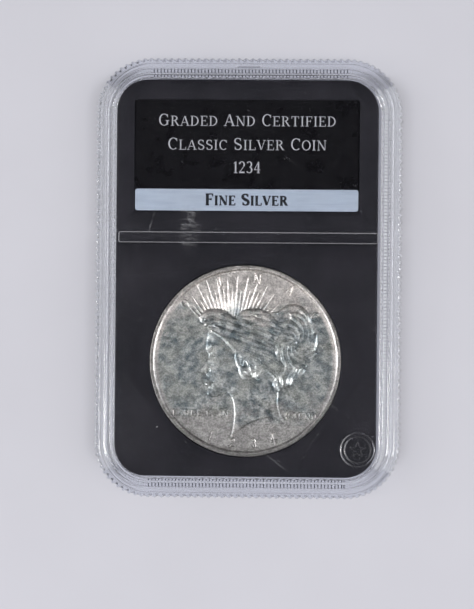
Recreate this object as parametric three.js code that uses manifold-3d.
// A graded coin slab: a sealed clear holder that keeps one large silver coin and its label.
//
// Two clear trays are welded round their reeded edge. Between them lies a black insert, which carries
// the coin in a counterbore and a printed card in a shallow pocket of each face. The slab lies on its back:
// X is its width, Y runs from the coin end to the label end, and Z runs from the back to the front.
// The origin is the middle of the back, on the surface the slab lies on. Sizes are in millimetres.

import * as THREE from "three";
import { mergeVertices } from "three/addons/utils/BufferGeometryUtils.js";
import Module from "manifold-3d";

const wasm = await Module();
wasm.setup();

// Slab, over the crests of the reeds
const SLAB_WIDTH = 61.0;
const SLAB_HEIGHT = 87.4;
const SLAB_THICKNESS = 8.0;
const CORNER_RADIUS = 10.9;

// Levels above the surface the slab lies on
const RIM_HEIGHT = 0.9; // the stacking rims stand this far proud of the two windows
const WALL = 1.4; // thickness of each window
const FRONT_FACE = SLAB_THICKNESS - RIM_HEIGHT;
const BACK_FACE = RIM_HEIGHT;
const CAVITY_TOP = FRONT_FACE - WALL;
const CAVITY_BOTTOM = BACK_FACE + WALL;
const PARTING = SLAB_THICKNESS / 2;
const PARTING_GAP = 0.1; // the weld line shows as this hairline

// Rims and walls, each as its distance in from the crests of the reeds
const EDGE_CHAMFER = 0.6;
const BACK_RIM_OUTSIDE = 0.9;
const BACK_RIM_INSIDE = 2.0;
const FRONT_RIM_OUTSIDE = 2.2; // drops inside the back rim of the slab stacked above it
const FRONT_RIM_INSIDE = 3.5;
const RIM_CHAMFER = 0.2;
const WINDOW_CHAMFER = 0.5;
const CREST_MARGIN = 0.1; // keeps the chamfer's cutter clear of the crests

// Reeds
const REED_DEPTH = 0.45;
const REEDS_PER_CORNER = 13;
const REEDS_PER_SHORT_SIDE = 29;
const REEDS_PER_LONG_SIDE = 49;

// Weld joint: a tongue on the back tray stands in a groove of the front tray
const TONGUE_OUTSIDE = 1.9;
const TONGUE_INSIDE = 2.7;
const TONGUE_HEIGHT = 0.9;
const GROOVE_CLEARANCE = 0.15;

// Divider rib under the front window, between the label and the coin
const RIB_LENGTH = 51.8;
const RIB_WIDTH = 2.2;
const RIB_DEPTH = 0.3;
const RIB_RADIUS = 0.4;
const RIB_Y = 8.1;
const RIB_GROOVE_WIDTH = 2.8;
const RIB_GROOVE_DEPTH = 0.35;

// Gate recess, moulded in the label end of the front tray
const GATE_WIDTH = 4.6;
const GATE_DEPTH = 0.3;

// Emblem, moulded on the front window
const EMBLEM_X = 22.2;
const EMBLEM_Y = -33.8;
const EMBLEM_HEIGHT = 0.15;
const EMBLEM_RINGS = [
  { outer: 3.45, inner: 3.15 },
  { outer: 2.7, inner: 2.5 },
];
const STAR_POINTS = 5;
const STAR_OUTER = 1.7;
const STAR_INNER = 0.7;

// Insert, which has a little play and lies over towards the left wall of its cavity
const INSERT_WIDTH = 52.0;
const INSERT_HEIGHT = 78.8;
const INSERT_RADIUS = 6.0;
const INSERT_PLAY = 0.45;
const INSERT_X = -0.4;
const INSERT_CLEARANCE = 0.1; // to the trays, above and below
const INSERT_BOTTOM = CAVITY_BOTTOM + INSERT_CLEARANCE;
const INSERT_TOP = CAVITY_TOP - INSERT_CLEARANCE;

// Coin
const COIN_DIAMETER = 38.1;
const COIN_THICKNESS = 2.4;
const COIN_Y = -16.4;
const COIN_RIM_WIDTH = 0.7;
const COIN_RIM_SLOPE = 0.45;
const COIN_FIELD_DEPTH = 0.45;
const COIN_EDGE_CHAMFER = 0.12;
const COIN_CLEARANCE = 0.15; // to the wall of the counterbore
const COIN_TOP = INSERT_TOP;
const COIN_SEGMENTS = 96;
const COIN_LIP = 0.9; // the insert's lip reaches this far in under the coin

// Cards: one in the front face of the insert and one, the same size, in the back face
const CARD_WIDTH = 44.5;
const CARD_HEIGHT = 22.0;
const CARD_THICKNESS = 0.3;
const CARD_RADIUS = 0.5;
const CARD_Y = 24.4;
const CARD_POCKET_CLEARANCE = 0.2;
const CARD_POCKET_DEPTH = 0.45;
const FOIL_THICKNESS = 0.1; // both foils, stuck on their cards
const BAND_HEIGHT = 4.3;
const SEAL_WIDTH = 18.0;
const SEAL_HEIGHT = 12.0;
const SEAL_RADIUS = 1.5;

const CORNER_STEPS = 6; // half the flats in a quarter turn of a large corner
const SMALL_CORNER_STEPS = 2;
const OVERSHOOT = 1; // a cutter runs this far past the face it opens

// A closed three.js geometry as a solid that can be cut and joined.
function solidOf(geometry) {
  const bare = geometry.clone();
  bare.deleteAttribute("normal");
  bare.deleteAttribute("uv");
  const merged = mergeVertices(bare, 1e-4);
  return new wasm.Manifold(
    new wasm.Mesh({
      numProp: 3,
      vertProperties: new Float32Array(merged.attributes.position.array),
      triVerts: new Uint32Array(merged.index.array),
    }),
  );
}

function geometryOf(solid) {
  const { vertProperties, triVerts } = solid.getMesh();
  const geometry = new THREE.BufferGeometry();
  geometry.setAttribute("position", new THREE.BufferAttribute(vertProperties, 3));
  geometry.setIndex(new THREE.BufferAttribute(triVerts, 1));
  const faceted = geometry.toNonIndexed();
  faceted.computeVertexNormals();
  return faceted;
}

// A rectangle with round corners, centred on a point.
function roundedRectangle(width, height, radius, x = 0, y = 0) {
  const right = x + width / 2;
  const left = x - width / 2;
  const top = y + height / 2;
  const bottom = y - height / 2;
  const shape = new THREE.Shape();
  shape.absarc(right - radius, bottom + radius, radius, -Math.PI / 2, 0);
  shape.absarc(right - radius, top - radius, radius, 0, Math.PI / 2);
  shape.absarc(left + radius, top - radius, radius, Math.PI / 2, Math.PI);
  shape.absarc(left + radius, bottom + radius, radius, Math.PI, (3 * Math.PI) / 2);
  shape.closePath();
  return shape;
}

// The slab's outline, moved in from the crests of the reeds.
function slabOutline(inset) {
  const width = SLAB_WIDTH - 2 * inset;
  const height = SLAB_HEIGHT - 2 * inset;
  return roundedRectangle(width, height, CORNER_RADIUS - inset);
}

// The slab's outline with a reed at each pitch: four straight sides and four round corners in turn.
function reededOutline() {
  const halfWidth = SLAB_WIDTH / 2 - CORNER_RADIUS;
  const halfHeight = SLAB_HEIGHT / 2 - CORNER_RADIUS;
  const corners = [
    { x: halfWidth, y: -halfHeight, along: REEDS_PER_LONG_SIDE },
    { x: halfWidth, y: halfHeight, along: REEDS_PER_SHORT_SIDE },
    { x: -halfWidth, y: halfHeight, along: REEDS_PER_LONG_SIDE },
    { x: -halfWidth, y: -halfHeight, along: REEDS_PER_SHORT_SIDE },
  ];
  const reedSteps = [
    { at: 0, radius: CORNER_RADIUS - REED_DEPTH },
    { at: 0.5, radius: CORNER_RADIUS },
  ];
  const points = [];
  corners.forEach((corner, index) => {
    const next = corners[(index + 1) % corners.length];
    const startAngle = (index - 1) * (Math.PI / 2);
    for (let reed = 0; reed < REEDS_PER_CORNER; reed++) {
      for (const step of reedSteps) {
        const angle = startAngle + ((reed + step.at) / REEDS_PER_CORNER) * (Math.PI / 2);
        points.push(
          new THREE.Vector2(
            corner.x + step.radius * Math.cos(angle),
            corner.y + step.radius * Math.sin(angle),
          ),
        );
      }
    }
    const outward = startAngle + Math.PI / 2;
    for (let reed = 0; reed < corner.along; reed++) {
      for (const step of reedSteps) {
        const share = (reed + step.at) / corner.along;
        points.push(
          new THREE.Vector2(
            THREE.MathUtils.lerp(corner.x, next.x, share) + step.radius * Math.cos(outward),
            THREE.MathUtils.lerp(corner.y, next.y, share) + step.radius * Math.sin(outward),
          ),
        );
      }
    }
  });
  return new THREE.Shape(points);
}

// A shape as a solid from one level to another, with both its ends chamfered where a chamfer is given.
function plate(shape, bottom, top, chamfer = 0, cornerSteps = CORNER_STEPS) {
  const geometry = new THREE.ExtrudeGeometry(shape, {
    depth: top - bottom - 2 * chamfer,
    curveSegments: cornerSteps,
    bevelEnabled: chamfer > 0,
    bevelThickness: chamfer,
    bevelSize: chamfer,
    bevelOffset: -chamfer,
    bevelSegments: 1,
  });
  geometry.translate(0, 0, bottom + chamfer);
  return solidOf(geometry);
}

function disc(radius, bottom, top, x = 0, y = 0, segments = COIN_SEGMENTS) {
  const geometry = new THREE.CylinderGeometry(radius, radius, top - bottom, segments);
  geometry.rotateX(Math.PI / 2);
  geometry.translate(x, y, (top + bottom) / 2);
  return solidOf(geometry);
}

// The wall between two insets of the slab's outline.
function ringWall(outside, inside, bottom, top) {
  const core = plate(slabOutline(inside), bottom - OVERSHOOT, top + OVERSHOOT);
  return plate(slabOutline(outside), bottom, top).subtract(core);
}

// Half of the reeded edge, with its outer corner chamfered, from the parting line to a window face.
function reededHalf(bottom, top, chamferedEndIsTop) {
  const outline = slabOutline(-CREST_MARGIN);
  const chamfer = EDGE_CHAMFER + CREST_MARGIN;
  const envelope = chamferedEndIsTop
    ? plate(outline, bottom - OVERSHOOT, top, chamfer)
    : plate(outline, bottom, top + OVERSHOOT, chamfer);
  return plate(reededOutline(), bottom, top).intersect(envelope);
}

// The space inside one tray, which leaves the insert its play on every side.
function cavitySpace(bottom, top) {
  const width = INSERT_WIDTH + 2 * INSERT_PLAY;
  const height = INSERT_HEIGHT + 2 * INSERT_PLAY;
  return plate(roundedRectangle(width, height, INSERT_RADIUS + INSERT_PLAY), bottom, top);
}

function star(x, y) {
  const points = [];
  for (let i = 0; i < 2 * STAR_POINTS; i++) {
    const radius = i % 2 ? STAR_INNER : STAR_OUTER;
    const angle = Math.PI / 2 + (i * Math.PI) / STAR_POINTS;
    points.push(new THREE.Vector2(x + radius * Math.cos(angle), y + radius * Math.sin(angle)));
  }
  return new THREE.Shape(points);
}

// Concentric rings round a plain star, standing proud of the front window.
function emblem() {
  const sunk = FRONT_FACE - WALL / 2;
  const top = FRONT_FACE + EMBLEM_HEIGHT;
  const segments = 32;
  let solid = plate(star(EMBLEM_X, EMBLEM_Y), sunk, top);
  for (const ring of EMBLEM_RINGS) {
    const hole = disc(ring.inner, sunk - OVERSHOOT, top + OVERSHOOT, EMBLEM_X, EMBLEM_Y, segments);
    solid = solid.add(
      disc(ring.outer, sunk, top, EMBLEM_X, EMBLEM_Y, segments).subtract(hole),
    );
  }
  return solid;
}

function frontShell() {
  const bottom = PARTING + PARTING_GAP / 2;
  const rim = plate(slabOutline(FRONT_RIM_OUTSIDE), bottom, SLAB_THICKNESS, RIM_CHAMFER);
  const windowRecess = plate(
    slabOutline(FRONT_RIM_INSIDE),
    FRONT_FACE,
    SLAB_THICKNESS + OVERSHOOT,
    WINDOW_CHAMFER,
  );
  const cavity = cavitySpace(bottom - OVERSHOOT, CAVITY_TOP);
  const groove = ringWall(
    TONGUE_OUTSIDE - GROOVE_CLEARANCE,
    TONGUE_INSIDE + GROOVE_CLEARANCE,
    bottom - OVERSHOOT,
    PARTING + TONGUE_HEIGHT + GROOVE_CLEARANCE,
  );
  const rib = plate(
    roundedRectangle(RIB_LENGTH, RIB_WIDTH, RIB_RADIUS, 0, RIB_Y),
    CAVITY_TOP - RIB_DEPTH,
    CAVITY_TOP + WALL / 2,
    0,
    SMALL_CORNER_STEPS,
  );
  const gateInnerEdge = SLAB_HEIGHT / 2 - (FRONT_RIM_OUTSIDE - 2 * RIM_CHAMFER);
  const gate = new THREE.BoxGeometry(GATE_WIDTH, 2 * (SLAB_HEIGHT / 2 - gateInnerEdge), 2 * GATE_DEPTH);
  gate.translate(0, SLAB_HEIGHT / 2, FRONT_FACE);
  return reededHalf(bottom, FRONT_FACE, true)
    .add(rim)
    .subtract(windowRecess)
    .subtract(cavity)
    .subtract(groove)
    .subtract(solidOf(gate))
    .add(rib)
    .add(emblem());
}

function backShell() {
  const top = PARTING - PARTING_GAP / 2;
  const rim = plate(slabOutline(BACK_RIM_OUTSIDE), 0, top, RIM_CHAMFER);
  const stackingRecess = plate(slabOutline(BACK_RIM_INSIDE), -OVERSHOOT, BACK_FACE);
  const cavity = cavitySpace(CAVITY_BOTTOM, top + OVERSHOOT);
  const tongue = ringWall(TONGUE_OUTSIDE, TONGUE_INSIDE, PARTING - WALL, PARTING + TONGUE_HEIGHT);
  return reededHalf(BACK_FACE, top, false)
    .add(rim)
    .subtract(stackingRecess)
    .subtract(cavity)
    .add(tongue);
}

function insert() {
  const coinRadius = COIN_DIAMETER / 2;
  const below = INSERT_BOTTOM - OVERSHOOT;
  const above = INSERT_TOP + OVERSHOOT;
  const counterboreFloor = COIN_TOP - COIN_THICKNESS - COIN_CLEARANCE / 3;
  const counterbore = disc(coinRadius + COIN_CLEARANCE, counterboreFloor, above, INSERT_X, COIN_Y);
  const rearHole = disc(coinRadius - COIN_LIP, below, above, INSERT_X, COIN_Y);
  const pocket = (bottom, top) => cardPlate(bottom, top, CARD_POCKET_CLEARANCE);
  const ribGroove = plate(
    roundedRectangle(SLAB_WIDTH, RIB_GROOVE_WIDTH, RIB_RADIUS, 0, RIB_Y),
    INSERT_TOP - RIB_GROOVE_DEPTH,
    above,
    0,
    SMALL_CORNER_STEPS,
  );
  const outline = roundedRectangle(INSERT_WIDTH, INSERT_HEIGHT, INSERT_RADIUS, INSERT_X, 0);
  return plate(outline, INSERT_BOTTOM, INSERT_TOP)
    .subtract(counterbore)
    .subtract(rearHole)
    .subtract(pocket(INSERT_TOP - CARD_POCKET_DEPTH, above))
    .subtract(pocket(below, INSERT_BOTTOM + CARD_POCKET_DEPTH))
    .subtract(ribGroove);
}

// The coin as struck: a sunk field, a sloping step up to a flat rim, and a plain edge, on both sides.
function coinGeometry() {
  const radius = COIN_DIAMETER / 2;
  const half = COIN_THICKNESS / 2;
  const field = half - COIN_FIELD_DEPTH;
  const rimInside = radius - COIN_RIM_WIDTH;
  const fieldRadius = rimInside - COIN_RIM_SLOPE;
  const side = [
    [fieldRadius, field],
    [rimInside, half],
    [radius - COIN_EDGE_CHAMFER, half],
    [radius, half - COIN_EDGE_CHAMFER],
  ];
  const mirrored = side.map(([r, z]) => [r, -z]);
  const profile = [[0, -field], ...mirrored, ...side.reverse(), [0, field]];
  const points = profile.map(([r, z]) => new THREE.Vector2(r, z));
  const geometry = new THREE.LatheGeometry(points, COIN_SEGMENTS);
  geometry.rotateX(Math.PI / 2);
  return geometry;
}

// A card, or the pocket it lies in when a clearance is given.
function cardPlate(bottom, top, clearance = 0) {
  const width = CARD_WIDTH + 2 * clearance;
  const height = CARD_HEIGHT + 2 * clearance;
  const outline = roundedRectangle(width, height, CARD_RADIUS, INSERT_X, CARD_Y);
  return plate(outline, bottom, top, 0, SMALL_CORNER_STEPS);
}

// The light band stuck along the front card's lower edge.
function labelBand() {
  const bottom = INSERT_TOP - CARD_POCKET_DEPTH + CARD_THICKNESS;
  const y = CARD_Y - (CARD_HEIGHT - BAND_HEIGHT) / 2;
  const outline = roundedRectangle(CARD_WIDTH, BAND_HEIGHT, CARD_RADIUS, INSERT_X, y);
  return plate(outline, bottom, bottom + FOIL_THICKNESS, 0, SMALL_CORNER_STEPS);
}

// The foil seal stuck on the middle of the back card.
function backSeal() {
  const top = INSERT_BOTTOM + CARD_POCKET_DEPTH - CARD_THICKNESS;
  const outline = roundedRectangle(SEAL_WIDTH, SEAL_HEIGHT, SEAL_RADIUS, INSERT_X, CARD_Y);
  return plate(outline, top - FOIL_THICKNESS, top, 0, SMALL_CORNER_STEPS);
}

const clearPlastic = new THREE.MeshStandardMaterial({
  color: 0xe4e8ee,
  roughness: 0.08,
  metalness: 0,
  transparent: true,
  opacity: 0.3,
});
const blackPlastic = new THREE.MeshStandardMaterial({ color: 0x2b2c31, roughness: 0.55, metalness: 0 });
const silver = new THREE.MeshStandardMaterial({ color: 0xb4b4b0, roughness: 0.35, metalness: 1 });
const blackCard = new THREE.MeshStandardMaterial({ color: 0x121216, roughness: 0.6, metalness: 0 });
const silverFoil = new THREE.MeshStandardMaterial({ color: 0xa6b2c4, roughness: 0.4, metalness: 0.2 });

function named(name, geometry, material) {
  const mesh = new THREE.Mesh(geometry, material);
  mesh.name = name;
  return mesh;
}

const frontCardBottom = INSERT_TOP - CARD_POCKET_DEPTH;
const frontCard = cardPlate(frontCardBottom, frontCardBottom + CARD_THICKNESS);
const backCardTop = INSERT_BOTTOM + CARD_POCKET_DEPTH;
const backCard = cardPlate(backCardTop - CARD_THICKNESS, backCardTop);

const slab = new THREE.Group();
slab.name = "coin_slab";
slab.add(named("front_shell", geometryOf(frontShell()), clearPlastic.clone()));
slab.add(named("back_shell", geometryOf(backShell()), clearPlastic.clone()));
slab.add(named("insert", geometryOf(insert()), blackPlastic));
slab.add(named("label_card", geometryOf(frontCard), blackCard.clone()));
slab.add(named("label_band", geometryOf(labelBand()), silverFoil.clone()));
slab.add(named("back_card", geometryOf(backCard), blackCard.clone()));
slab.add(named("back_seal", geometryOf(backSeal()), silverFoil.clone()));

const coin = named("coin", coinGeometry(), silver);
coin.position.set(INSERT_X, COIN_Y, COIN_TOP - COIN_THICKNESS / 2);
slab.add(coin);

export default slab;
